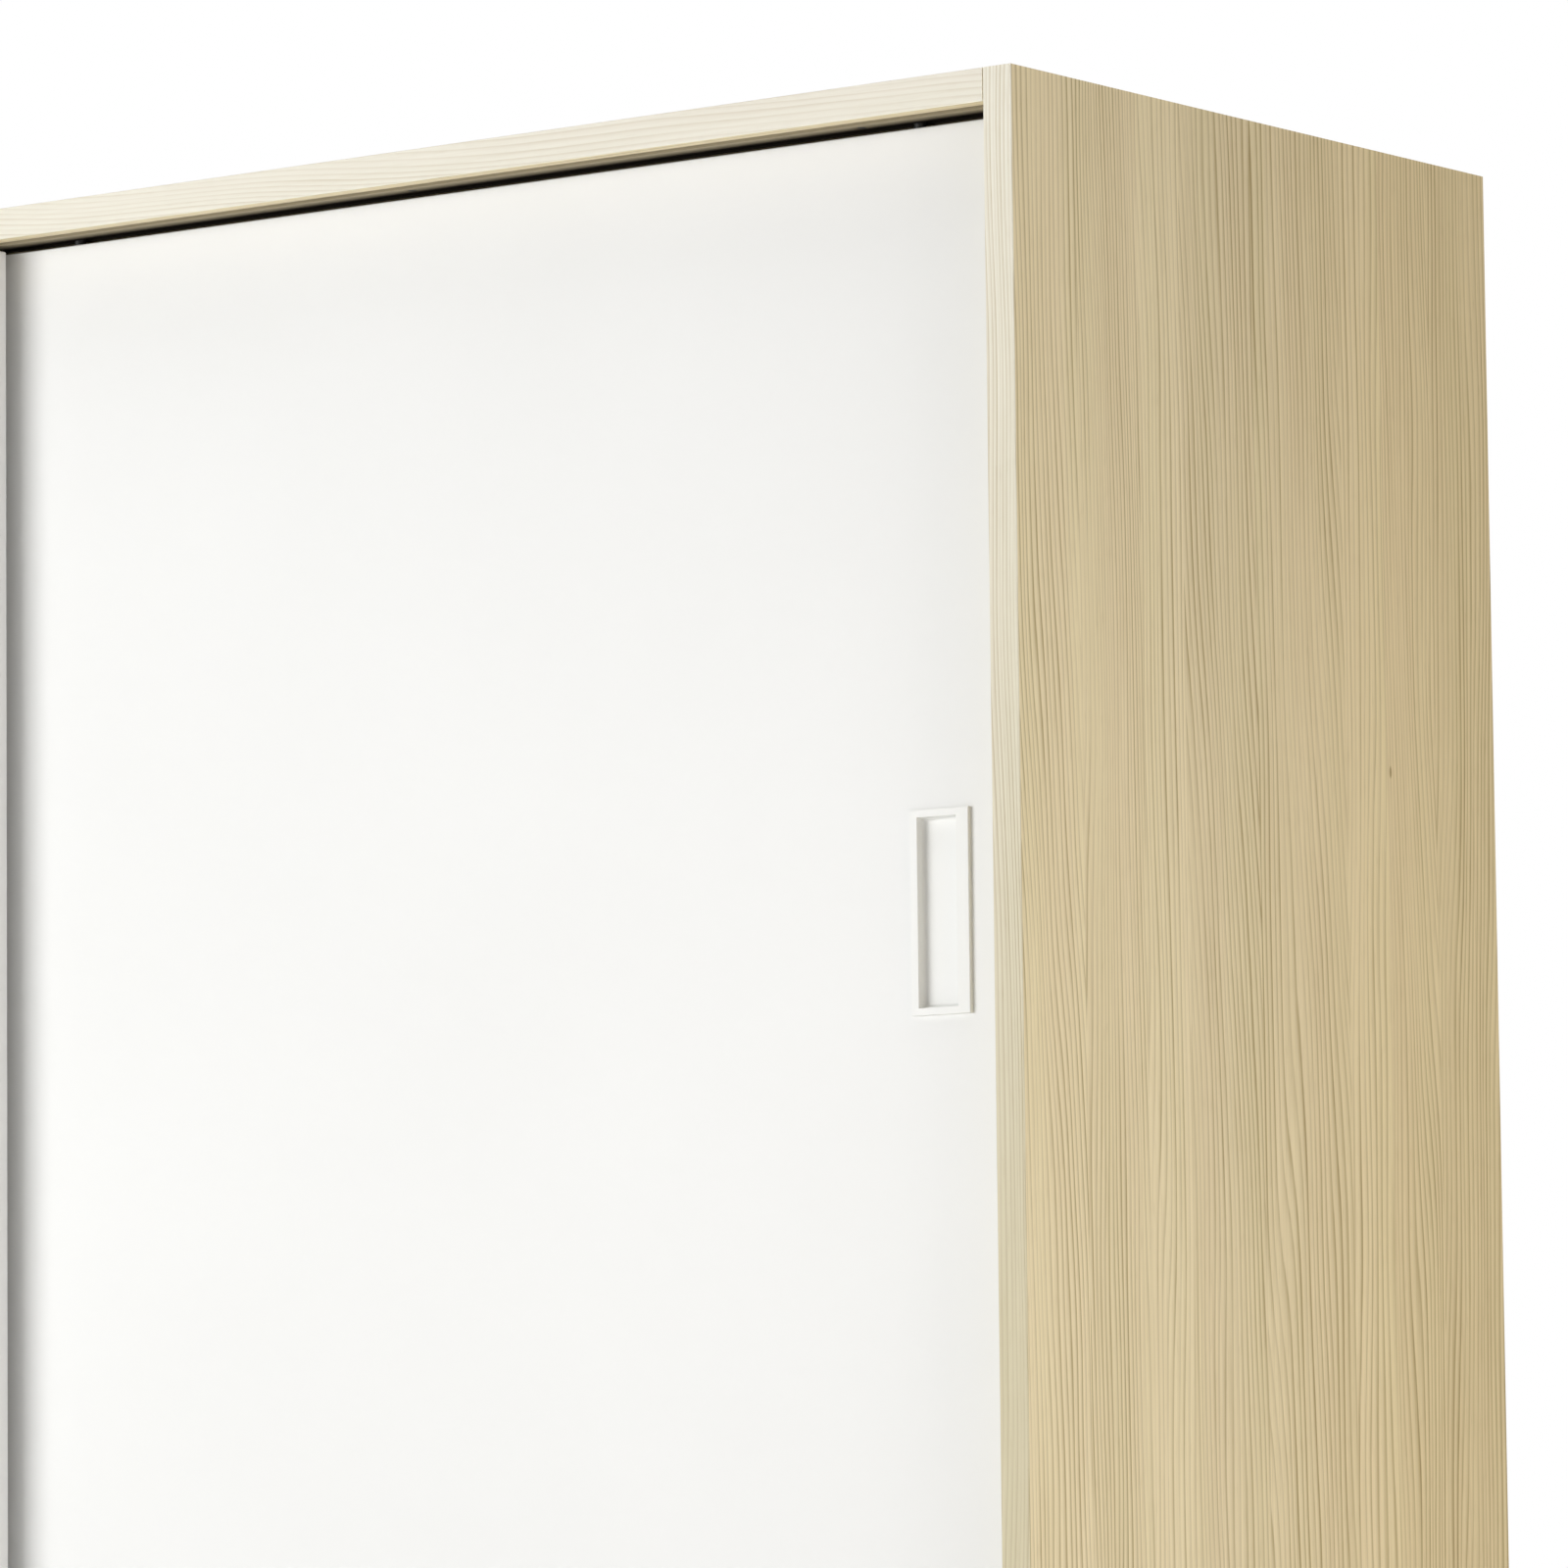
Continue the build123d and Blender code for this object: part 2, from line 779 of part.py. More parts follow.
def guide_spring(x, plane_y):
    """A coil spring between the housing's floor and the pin's collar."""
    low = door_top - fitting_height + fitting_wall + spring_wire_radius + spring_end_gap
    high = guide_collar_top() - pin_collar_height - spring_wire_radius - spring_end_gap
    coil = Helix(pitch=(high - low) / spring_turns, height=high - low, radius=spring_radius)
    wire = Plane(origin=coil @ 0, z_dir=coil % 0) * Circle(spring_wire_radius)
    return Pos(x, plane_y, low) * sweep(wire, path=coil, is_frenet=True)


def wheel(x, plane_y):
    """A grooved wheel whose tread rides on the rail and whose flanges keep it there."""
    half_groove = rail_width / 2 + rail_side_clearance
    half_width = wheel_width / 2
    outline = Polyline(
        (axle_radius + running_fit, -half_width),
        (wheel_flange_radius - wheel_edge, -half_width),
        (wheel_flange_radius, -half_width + wheel_edge),
        (wheel_flange_radius, -half_groove - wheel_edge),
        (wheel_tread_radius, -half_groove),
        (wheel_tread_radius, half_groove),
        (wheel_flange_radius, half_groove + wheel_edge),
        (wheel_flange_radius, half_width - wheel_edge),
        (wheel_flange_radius - wheel_edge, half_width),
        (axle_radius + running_fit, half_width),
        close=True,
    )
    upright = Plane(origin=(x, plane_y, axle_z), z_dir=(0, 1, 0))
    return upright * revolve(Plane.XZ * make_face(outline), Axis.Z)


def door_panel(door_x, face_y, pull_side):
    """A lacquered board with softened edges, mortised for its pull and fittings."""
    panel = block((door_x - door_width / 2, door_x + door_width / 2), (face_y, face_y + door_thickness),
                  (door_bottom, door_top))
    panel = chamfer(panel.edges(), door_arris)
    plane_y = face_y + door_thickness / 2
    cuts = [pull_shell(door_x, face_y, pull_side)]
    cuts += pull_screws(door_x, face_y, pull_side)
    cuts += fitting_screws(door_x, plane_y)
    for x in fitting_places(door_x):
        cuts.append(fitting_block(x, plane_y, door_bottom))
        cuts.append(fitting_block(x, plane_y, door_top - fitting_height))
    return panel - cuts


def door_nodes(name, door_x, face_y, pull_side):
    """Every piece of one door, by node name."""
    plane_y = face_y + door_thickness / 2
    nodes = {
        "panel": door_panel(door_x, face_y, pull_side),
        "pull": pull(door_x, face_y, pull_side),
        "pull_screws": group(pull_screws(door_x, face_y, pull_side)),
        "roller_housings": group(roller_housings(door_x, plane_y)),
        "roller_axles": group(roller_axles(door_x, plane_y)),
        "guide_housings": group(guide_housings(door_x, plane_y)),
        "fitting_screws": group(fitting_screws(door_x, plane_y)),
    }
    for end, x in zip(("left", "right"), fitting_places(door_x)):
        nodes[f"wheel_{end}"] = wheel(x, plane_y)
        nodes[f"guide_pin_{end}"] = guide_pin(x, plane_y)
        nodes[f"guide_spring_{end}"] = guide_spring(x, plane_y)
    return {f"{name}_{piece}": shape for piece, shape in nodes.items()}


def carcase_nodes():
    """Every fixed piece, by node name."""
    nodes = {
        "side_panel_left": side_panel(-1),
        "side_panel_right": side_panel(1),
        "top_panel": top_panel(),
        "bottom_panel": bottom_panel(),
        "carcase_edge_bands": group(carcase_edge_bands()),
        "centre_partition": centre_partition(),
        "hat_shelf": shelf(0, hat_shelf_top),
        "interior_edge_bands": group(interior_edge_bands()),
        "plinth_board_front": plinth_board(plinth_front_y()),
        "plinth_board_rear": plinth_board(plinth_rear_y()),
        "back_panel_left": back_panel(-1),
        "back_panel_right": back_panel(1),
        "back_panel_nails": group(back_nails()),
        "cam_locks": group(all_cam_locks()),
        "cam_bolts": group(all_cam_bolts()),
        "wood_dowels": group(all_side_dowels() + partition_dowels()),
        "shelf_pins": group(shelf_pins()),
        "clothes_rail": clothes_rail(),
        "rail_sockets": group(rail_sockets()),
        "rail_socket_screws": group(rail_socket_screws()),
        "glide_feet": group(glide_feet()),
        "wall_brackets": group(wall_brackets()),
        "wall_bracket_screws": group(bracket_screws()),
        "top_track": top_track(),
        "bottom_track": bottom_track(),
        "track_screws": group(top_track_screws() + bottom_track_screws()),
        "door_buffers": group(door_buffers()),
    }
    for number, top in enumerate(shelf_tops(), start=1):
        nodes[f"shelf_{number}"] = shelf(1, top)
    return nodes


os.makedirs("parts", exist_ok=True)
wardrobe = carcase_nodes()
wardrobe.update(door_nodes("left_door", left_door_x, left_door_face, -1))
wardrobe.update(door_nodes("right_door", right_door_x, right_door_face, 1))
for node_name, node_shape in wardrobe.items():
    export_step(node_shape, f"parts/{node_name}.step")
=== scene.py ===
import math
import bpy
from mathutils import Matrix, Vector


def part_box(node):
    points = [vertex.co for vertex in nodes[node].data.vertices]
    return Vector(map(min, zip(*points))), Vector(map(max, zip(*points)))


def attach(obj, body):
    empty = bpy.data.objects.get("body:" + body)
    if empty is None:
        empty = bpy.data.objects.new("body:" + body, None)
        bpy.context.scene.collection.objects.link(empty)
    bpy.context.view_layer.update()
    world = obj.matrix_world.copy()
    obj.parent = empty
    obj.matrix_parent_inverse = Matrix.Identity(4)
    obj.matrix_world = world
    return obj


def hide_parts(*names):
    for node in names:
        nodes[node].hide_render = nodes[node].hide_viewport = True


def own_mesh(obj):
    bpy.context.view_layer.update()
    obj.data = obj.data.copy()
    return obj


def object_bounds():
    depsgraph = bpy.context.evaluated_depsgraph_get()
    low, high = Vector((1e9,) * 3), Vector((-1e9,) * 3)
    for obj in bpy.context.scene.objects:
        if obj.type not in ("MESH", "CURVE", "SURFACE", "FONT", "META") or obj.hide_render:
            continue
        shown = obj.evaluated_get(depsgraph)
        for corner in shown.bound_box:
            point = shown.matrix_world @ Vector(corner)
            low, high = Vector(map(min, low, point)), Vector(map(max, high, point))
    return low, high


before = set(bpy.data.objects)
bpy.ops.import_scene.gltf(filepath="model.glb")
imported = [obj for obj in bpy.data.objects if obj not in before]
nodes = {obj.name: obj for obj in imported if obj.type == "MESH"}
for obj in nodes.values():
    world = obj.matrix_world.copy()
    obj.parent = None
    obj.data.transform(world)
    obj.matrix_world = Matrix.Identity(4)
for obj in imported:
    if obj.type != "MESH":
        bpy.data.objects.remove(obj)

cad_low, cad_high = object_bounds()
bpy.ops.object.select_all(action="DESELECT")


# ---------------------------------------------------------------- carcase boards
# Sides, top, bottom, partition, shelves and plinth are particle boards faced with a bleached veneer-like
# foil. Its leaves run the length of each board: upright on the sides and partition, lying on the others.
# The boards are drilled for cams, dowels and pins, and meet with hairline joints.

def value_into(tree, socket, value):
    """Links an output, or sets a plain number, vector or colour."""
    if isinstance(value, bpy.types.NodeSocket):
        tree.links.new(value, socket)
    else:
        socket.default_value = value


def calc(tree, operation, *values):
    """One Math node."""
    node = tree.nodes.new("ShaderNodeMath")
    node.operation = operation
    for socket, value in zip(node.inputs, values):
        value_into(tree, socket, value)
    return node.outputs[0]


def choose(tree, mask, low, high):
    """A number that goes from low to high as the mask goes from 0 to 1."""
    node = tree.nodes.new("ShaderNodeMix")
    value_into(tree, node.inputs["Factor"], mask)
    value_into(tree, node.inputs["A"], low)
    value_into(tree, node.inputs["B"], high)
    return node.outputs["Result"]


def tint(tree, mask, low, high, blend="MIX"):
    """A colour that goes from low to high as the mask goes from 0 to 1."""
    node = tree.nodes.new("ShaderNodeMix")
    node.data_type = "RGBA"
    node.blend_type = blend
    value_into(tree, node.inputs[0], mask)
    value_into(tree, node.inputs[6], low)
    value_into(tree, node.inputs[7], high)
    return node.outputs[2]


def place(tree, x, y, z=0.0):
    """A point made of three numbers."""
    node = tree.nodes.new("ShaderNodeCombineXYZ")
    for socket, value in zip(node.inputs, (x, y, z)):
        value_into(tree, socket, value)
    return node.outputs[0]


def cloud(tree, point, scale=1.0, detail=2.0, rough=0.5):
    """Smooth noise from 0 to 1."""
    node = tree.nodes.new("ShaderNodeTexNoise")
    value_into(tree, node.inputs["Vector"], point)
    value_into(tree, node.inputs["Scale"], scale)
    node.inputs["Detail"].default_value = detail
    node.inputs["Roughness"].default_value = rough
    return node.outputs["Fac"]


def streaks(tree, across, along, per_metre_across, per_metre_along, seed, detail=2.0, rough=0.5):
    """Smooth noise stretched along the grain, with its fineness given in both directions."""
    across = calc(tree, "MULTIPLY", across, per_metre_across)
    along = calc(tree, "MULTIPLY", along, per_metre_along)
    return cloud(tree, place(tree, across, along, seed), detail=detail, rough=rough)


def between(tree, value, low, high):
    """The value stretched so that low becomes 0 and high becomes 1, and held there."""
    node = tree.nodes.new("ShaderNodeMapRange")
    value_into(tree, node.inputs["Value"], value)
    node.inputs["From Min"].default_value = low
    node.inputs["From Max"].default_value = high
    return node.outputs["Result"]


def new_group(name, inputs, outputs):
    """An empty shader node group with named sockets, with its input and output nodes."""
    tree = bpy.data.node_groups.new(name, "ShaderNodeTree")
    for label, kind, value in inputs:
        tree.interface.new_socket(name=label, in_out="INPUT", socket_type=kind).default_value = value
    for label, kind in outputs:
        tree.interface.new_socket(name=label, in_out="OUTPUT", socket_type=kind)
    return tree, tree.nodes.new("NodeGroupInput").outputs, tree.nodes.new("NodeGroupOutput").inputs


def face_coordinates():
    """Group: on each face of a board, how far across and along the grain a point lies, in metres."""
    tree, given, result = new_group(
        "Grain on each face",
        [("Point", "NodeSocketVector", (0, 0, 0)), ("Normal", "NodeSocketVector", (0, 0, 1)),
         ("Upright", "NodeSocketFloat", 1.0)],
        [("Across", "NodeSocketFloat"), ("Along", "NodeSocketFloat")],
    )
    point = tree.nodes.new("ShaderNodeSeparateXYZ")
    normal = tree.nodes.new("ShaderNodeSeparateXYZ")
    tree.links.new(given["Point"], point.inputs[0])
    tree.links.new(given["Normal"], normal.inputs[0])
    x, y, z = point.outputs
    along_axis = [calc(tree, "ABSOLUTE", part) for part in normal.outputs]
    faces_x, _, faces_z = [calc(tree, "GREATER_THAN", part, 0.6) for part in along_axis]
    upright_across = choose(tree, faces_x, x, y)
    upright_along = choose(tree, faces_z, z, y)
    lying_across = choose(tree, faces_z, z, y)
    lying_along = choose(tree, faces_x, x, y)
    tree.links.new(choose(tree, given["Upright"], lying_across, upright_across), result["Across"])
    tree.links.new(choose(tree, given["Upright"], lying_along, upright_along), result["Along"])
    return tree


def bleached_grain():
    """Group: leaves of bleached veneer, each with its own tone, slant and line spacing."""
    tree, given, result = new_group(
        "Bleached grain",
        [("Across", "NodeSocketFloat", 0.0), ("Along", "NodeSocketFloat", 0.0),
         ("Seed", "NodeSocketFloat", 0.0),
         ("Leaf width", "NodeSocketFloat", 0.075), ("Line spacing", "NodeSocketFloat", 0.006),
         ("Contrast", "NodeSocketFloat", 1.0), ("Pale", "NodeSocketColor", (1, 1, 1, 1)),
         ("Line", "NodeSocketColor", (0.5, 0.5, 0.5, 1))],
        [("Color", "NodeSocketColor"), ("Roughness", "NodeSocketFloat"), ("Height", "NodeSocketFloat")],
    )
    across, along, seed = given["Across"], given["Along"], given["Seed"]

    # Leaves of unequal width
    leaf_place = calc(tree, "DIVIDE", across, given["Leaf width"])
    swing = calc(tree, "SINE", calc(tree, "MULTIPLY_ADD", leaf_place, 1.9, seed))
    leaf_place = calc(tree, "MULTIPLY_ADD", swing, 0.32, leaf_place)
    leaf = calc(tree, "ADD", calc(tree, "FLOOR", leaf_place), seed)
    dice = tree.nodes.new("ShaderNodeTexWhiteNoise")
    dice.noise_dimensions = "1D"
    tree.links.new(leaf, dice.inputs["W"])
    dice_parts = tree.nodes.new("ShaderNodeSeparateColor")
    tree.links.new(dice.outputs["Color"], dice_parts.inputs[0])
    leaf_tone, leaf_spacing, leaf_slant = dice_parts.outputs

    # Growth lines: slanted a little in each leaf, bending slowly, in bands of closer and wider lines
    slant = calc(tree, "MULTIPLY", calc(tree, "SUBTRACT", leaf_slant, 0.5), 0.10)
    bend = streaks(tree, across, along, 9.0, 1.3, leaf)
    bend = calc(tree, "MULTIPLY", calc(tree, "SUBTRACT", bend, 0.5), 0.055)
    drift = calc(tree, "ADD", calc(tree, "MULTIPLY_ADD", along, slant, across), bend)
    leaf_spacing = calc(tree, "MULTIPLY_ADD", leaf_spacing, 0.7, 0.65)
    spacing = calc(tree, "MULTIPLY", given["Line spacing"], leaf_spacing)
    band = cloud(tree, place(tree, calc(tree, "MULTIPLY", drift, 55.0), leaf))
    wobble = streaks(tree, across, along, 160.0, 6.0, leaf)
    turns = calc(tree, "MULTIPLY_ADD", band, 1.5, calc(tree, "DIVIDE", drift, spacing))
    turns = calc(tree, "MULTIPLY_ADD", wobble, 0.3, turns)
    ramp = calc(tree, "FRACT", turns)
    line = calc(tree, "MULTIPLY", calc(tree, "POWER", ramp, 3.0), between(tree, ramp, 1.0, 0.86))
    each_line = tree.nodes.new("ShaderNodeTexWhiteNoise")
    each_line.noise_dimensions = "1D"
    tree.links.new(calc(tree, "ADD", calc(tree, "FLOOR", turns), leaf), each_line.inputs["W"])
    line = calc(tree, "MULTIPLY", line, calc(tree, "MULTIPLY_ADD", each_line.outputs["Value"], 0.6, 0.4))
    patch = streaks(tree, across, along, 28.0, 2.2, seed)
    line = calc(tree, "MULTIPLY", line, between(tree, patch, 0.15, 0.58))

    # Fibres, short pores and rare flecks
    fibre = streaks(tree, across, along, 480.0, 8.0, seed, detail=3.0, rough=0.62)
    pore = between(tree, streaks(tree, across, along, 900.0, 45.0, leaf), 0.58, 0.76)
    broad = streaks(tree, across, along, 5.0, 0.7, seed)
    hue = streaks(tree, across, along, 24.0, 0.9, leaf)
    cells = tree.nodes.new("ShaderNodeTexVoronoi")
    fleck_point = place(tree, calc(tree, "MULTIPLY", across, 8.0), calc(tree, "MULTIPLY", along, 2.6), seed)
    tree.links.new(fleck_point, cells.inputs["Vector"])
    cells.inputs["Scale"].default_value = 1.0
    fleck = between(tree, cells.outputs["Distance"], 0.016, 0.007)

    # Everything that darkens the pale ground, each with its share, added up
    shares = ((line, 1.80), (fibre, 0.58), (pore, 0.20), (leaf_tone, 0.17), (broad, 0.20))
    depth = -0.395
    for part, share in shares:
        depth = calc(tree, "MULTIPLY_ADD", part, share, depth)
    depth = calc(tree, "MULTIPLY", depth, given["Contrast"])
    depth = calc(tree, "MAXIMUM", depth, fleck)
    clamp = tree.nodes.new("ShaderNodeClamp")
    tree.links.new(depth, clamp.inputs["Value"])
    ground = tint(tree, clamp.outputs[0], given["Pale"], given["Line"])
    hues = tint(tree, between(tree, hue, 0.3, 0.7), (1.0, 0.985, 0.965, 1), (0.99, 0.995, 0.95, 1))
    tree.links.new(tint(tree, 1.0, ground, hues, "MULTIPLY"), result["Color"])
    tree.links.new(calc(tree, "MULTIPLY_ADD", fibre, 0.16, 0.40), result["Roughness"])
    relief = calc(tree, "MULTIPLY_ADD", line, -0.6, calc(tree, "MULTIPLY", fibre, 0.5))
    tree.links.new(calc(tree, "SUBTRACT", relief, calc(tree, "MULTIPLY", pore, 0.7)), result["Height"])
    return tree


def add_group(tree, group):
    """A node that holds this group."""
    node = tree.nodes.new("ShaderNodeGroup")
    node.node_tree = group
    return node


def new_material(name):
    """A material with only a Principled shader, and its tree, shader and coordinates."""
    made = bpy.data.materials.new(name)
    made.use_nodes = True
    tree = made.node_tree
    shader = tree.nodes["Principled BSDF"]
    return made, tree, shader, tree.nodes.new("ShaderNodeTexCoord").outputs


def add_bump(tree, shader, height, distance, strength=1.0):
    """Relief of the given height, in metres."""
    node = tree.nodes.new("ShaderNodeBump")
    node.inputs["Strength"].default_value = strength
    node.inputs["Distance"].default_value = distance
    value_into(tree, node.inputs["Height"], height)
    tree.links.new(node.outputs[0], shader.inputs["Normal"])


grain_directions = face_coordinates()
grain_leaves = bleached_grain()


def foil(name, upright, seed, pale, line, leaf_width=0.078, line_spacing=0.0054, contrast=1.0,
         relief=0.00005, painted_shade=None):
    """Bleached grained foil on a board, its grain upright or lying. Its colour may be darkened along one way
    with painted shade.
    """
    made, tree, shader, coordinates = new_material(name)
    direction = add_group(tree, grain_directions)
    tree.links.new(coordinates["Object"], direction.inputs["Point"])
    tree.links.new(coordinates["Normal"], direction.inputs["Normal"])
    direction.inputs["Upright"].default_value = upright
    grain = add_group(tree, grain_leaves)
    tree.links.new(direction.outputs["Across"], grain.inputs["Across"])
    tree.links.new(direction.outputs["Along"], grain.inputs["Along"])
    for label, value in (("Seed", seed), ("Leaf width", leaf_width), ("Line spacing", line_spacing),
                         ("Contrast", contrast), ("Pale", pale), ("Line", line)):
        grain.inputs[label].default_value = value
    colour = grain.outputs["Color"]
    # Painted shade: the colour is darkened from start to end along one way, standing in for light that falls
    # off there
    if painted_shade:
        way, start, end, tone = painted_shade
        tone = tint(tree, between(tree, direction.outputs[way], start, end), (1, 1, 1, 1), tone)
        colour = tint(tree, 1.0, colour, tone, "MULTIPLY")
    tree.links.new(colour, shader.inputs["Base Color"])
    tree.links.new(grain.outputs["Roughness"], shader.inputs["Roughness"])
    shader.inputs["Specular IOR Level"].default_value = 0.35
    add_bump(tree, shader, grain.outputs["Height"], relief)
    return made


def dress(piece, made):
    """Gives a piece this material all over."""
    piece.data.materials.clear()
    piece.data.materials.append(made)


board_pale = (0.86, 0.745, 0.500, 1)
board_line = (0.42, 0.33, 0.165, 1)
# Painted shade: the upright boards' colour darkens towards the rear, where less light reaches the sides
painted_shade_to_rear = ("Across", -0.05, 0.16, (0.97, 0.935, 0.86, 1))
upright_grain = 1.0
lying_grain = 0.0
first_upright_seed = 3.0
upright_seed_step = 11.0
first_lying_seed = 40.0
lying_seed_step = 7.0
for number, name in enumerate(("side_panel_right", "side_panel_left", "centre_partition")):
    seed = first_upright_seed + upright_seed_step * number
    dress(nodes[name], foil(f"foil_{name}", upright_grain, seed, board_pale, board_line,
                            painted_shade=painted_shade_to_rear))
lying_boards = ["top_panel", "bottom_panel", "hat_shelf", "plinth_board_front", "plinth_board_rear"]
lying_boards += [f"shelf_{number}" for number in (1, 2, 3, 4)]
for number, name in enumerate(lying_boards):
    seed = first_lying_seed + lying_seed_step * number
    dress(nodes[name], foil(f"foil_{name}", lying_grain, seed, board_pale, board_line))


# ---------------------------------------------------------------- edging
# The front edges of the boards carry a 1 mm edging of the same bleached grain, a shade lighter. It is
# glued on, trimmed flush and eased with a small arris, so each front corner catches the light.

edging_arris = 0.0005
edging_line = (0.54, 0.44, 0.27, 1)
# Painted shade: the upright edging's colour darkens from near the top downwards, standing in for light that
# is stronger near the top
painted_shade_below = ("Along", 1.98, 1.20, (0.74, 0.70, 0.55, 1))
upright_edging = foil("edging_upright", upright_grain, 5.0, (0.94, 0.91, 0.82, 1), edging_line,
                      leaf_width=0.030, line_spacing=0.0040, contrast=0.8, relief=0.00003,
                      painted_shade=painted_shade_below)
lying_edging = foil("edging_lying", lying_grain, 8.0, (0.93, 0.905, 0.81, 1), edging_line,
                    leaf_width=0.030, line_spacing=0.0045, contrast=0.42, relief=0.00003)
near = 1e-5  # two places closer than this are the same


def active_piece(name):
    """The piece just added, named and with its place in its mesh."""
    bpy.ops.object.transform_apply(location=True, rotation=True, scale=True)
    piece = bpy.context.object
    piece.name = name
    piece.data.name = name
    return piece


def add_block(name, low, high):
    """A block between two corners, still to be shaped."""
    low, high = Vector(low), Vector(high)
    bpy.ops.object.select_all(action="DESELECT")
    bpy.ops.mesh.primitive_cube_add(size=1, location=(low + high) / 2)
    bpy.context.object.scale = high - low
    return active_piece(name)


def pick(piece, kind, test):
    """In edit mode, selects only the faces or edges of the piece that pass the test."""
    bpy.ops.object.mode_set(mode="EDIT")
    bpy.ops.mesh.select_mode(type=kind)
    bpy.ops.mesh.select_all(action="DESELECT")
    bpy.ops.object.mode_set(mode="OBJECT")
    parts = piece.data.polygons if kind == "FACE" else piece.data.edges
    for part in parts:
        part.select = test(part)
    bpy.ops.object.mode_set(mode="EDIT")


def edge_ends(piece, edge):
    """The places of an edge's two ends."""
    return [piece.data.vertices[index].co for index in edge.vertices]


def soften(piece, degrees=35):
    """Smooth shading over the rounded edges, with the flats kept flat."""
    bpy.ops.object.select_all(action="DESELECT")
    piece.select_set(True)
    bpy.context.view_layer.objects.active = piece
    bpy.ops.object.shade_smooth_by_angle(angle=math.radians(degrees))
    bpy.ops.object.modifier_add(type="WEIGHTED_NORMAL")
    piece.modifiers[-1].keep_sharp = True
    bpy.ops.object.modifier_apply(modifier=piece.modifiers[-1].name)


def edging(name, low, high, made, cad_node):
    """One strip, with the two long edges of its front face eased."""
    strip = add_block(name, low, high)
    front = low[1]
    size = Vector(high) - Vector(low)
    longest = 2 if size.z > size.x else 0

    def long_front_edge(edge):
        a, b = edge_ends(strip, edge)
        return abs(a.y - front) < near and abs(b.y - front) < near and abs(a[longest] - b[longest]) > near

    pick(strip, "EDGE", long_front_edge)
    bpy.ops.mesh.bevel(offset=edging_arris, segments=3, affect="EDGES")
    bpy.ops.object.mode_set(mode="OBJECT")
    soften(strip)
    dress(strip, made)
    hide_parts(cad_node)
    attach(strip, "carcase")


band_low, band_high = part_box("carcase_edge_bands")
for side in ("left", "right"):
    low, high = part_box(f"side_panel_{side}")
    edging(f"edging_side_{side}", (low.x, band_low.y, low.z), (high.x, band_high.y, high.z),
           upright_edging, "carcase_edge_bands")
joint_gap = 0.0006
for board in ("top", "bottom"):
    low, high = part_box(f"{board}_panel")
    edging(f"edging_{board}", (low.x + joint_gap, band_low.y, low.z),
           (high.x - joint_gap, band_high.y, high.z), lying_edging, "carcase_edge_bands")
edging_depth = band_high.y - band_low.y
low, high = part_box("centre_partition")
edging("edging_partition", (low.x, low.y - edging_depth, low.z), (high.x, low.y, high.z),
       upright_edging, "interior_edge_bands")
for name in ["hat_shelf"] + [f"shelf_{number}" for number in (1, 2, 3, 4)]:
    low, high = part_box(name)
    edging(f"edging_{name}", (low.x, low.y - edging_depth, low.z), (high.x, low.y, high.z),
           lying_edging, "interior_edge_bands")


# ---------------------------------------------------------------- back sheets
# Two sheets of thin hardboard, nailed into the rear rebates. The inner face has a pale printed coat, and
# the outer one is the bare brown fibre.

def hardboard():
    """Pressed fibre: coated where the sheet faces the front, bare elsewhere."""
    made, tree, shader, coordinates = new_material("hardboard_sheet")
    normal = tree.nodes.new("ShaderNodeSeparateXYZ")
    tree.links.new(coordinates["Normal"], normal.inputs[0])
    bare = calc(tree, "GREATER_THAN", normal.outputs["Y"], -0.5)
    fibre = cloud(tree, coordinates["Object"], 420.0, 6.0, 0.65)
    clump = cloud(tree, coordinates["Object"], 35.0, 3.0)
    brown = tint(tree, fibre, (0.20, 0.115, 0.055, 1), (0.42, 0.27, 0.15, 1))
    brown = tint(tree, calc(tree, "MULTIPLY", clump, 0.35), brown, (0.30, 0.18, 0.09, 1))
    coat = tint(tree, fibre, (0.70, 0.64, 0.53, 1), (0.76, 0.71, 0.60, 1))
    tree.links.new(tint(tree, bare, coat, brown), shader.inputs["Base Color"])
    coat_rough = calc(tree, "MULTIPLY_ADD", fibre, 0.1, 0.42)
    tree.links.new(choose(tree, bare, coat_rough, 0.85), shader.inputs["Roughness"])
    add_bump(tree, shader, fibre, 0.00012)
    return made


hardboard_sheet = hardboard()
for side in ("left", "right"):
    dress(nodes[f"back_panel_{side}"], hardboard_sheet)


# ---------------------------------------------------------------- door panels
# Two fibreboard panels, sprayed with white satin lacquer on every face. Their edges are eased, and they
# are mortised for the flush pull and for the roller and guide housings. They overlap in the middle.

door_arris = 0.0012


def lacquer():
    """Group: the faint orange peel and the soft patches of sheen of sprayed lacquer."""
    tree, given, result = new_group(
        "Sprayed lacquer",
        [("Point", "NodeSocketVector", (0, 0, 0)), ("Colour", "NodeSocketColor", (0.9, 0.9, 0.9, 1)),
         ("Sheen", "NodeSocketFloat", 0.35)],
        [("Color", "NodeSocketColor"), ("Roughness", "NodeSocketFloat"), ("Height", "NodeSocketFloat")],
    )
    peel = cloud(tree, given["Point"], 260.0, 2.0)
    wide = cloud(tree, given["Point"], 2.3, 2.0)
    dust = cloud(tree, given["Point"], 1500.0, 1.0)
    shade = calc(tree, "MULTIPLY", wide, 0.035)
    tree.links.new(tint(tree, shade, given["Colour"], (0.74, 0.72, 0.67, 1)), result["Color"])
    rough = calc(tree, "MULTIPLY_ADD", wide, 0.12, given["Sheen"])
    tree.links.new(calc(tree, "MULTIPLY_ADD", dust, 0.04, rough), result["Roughness"])
    tree.links.new(calc(tree, "MULTIPLY_ADD", dust, 0.15, peel), result["Height"])
    return tree


sprayed_lacquer = lacquer()


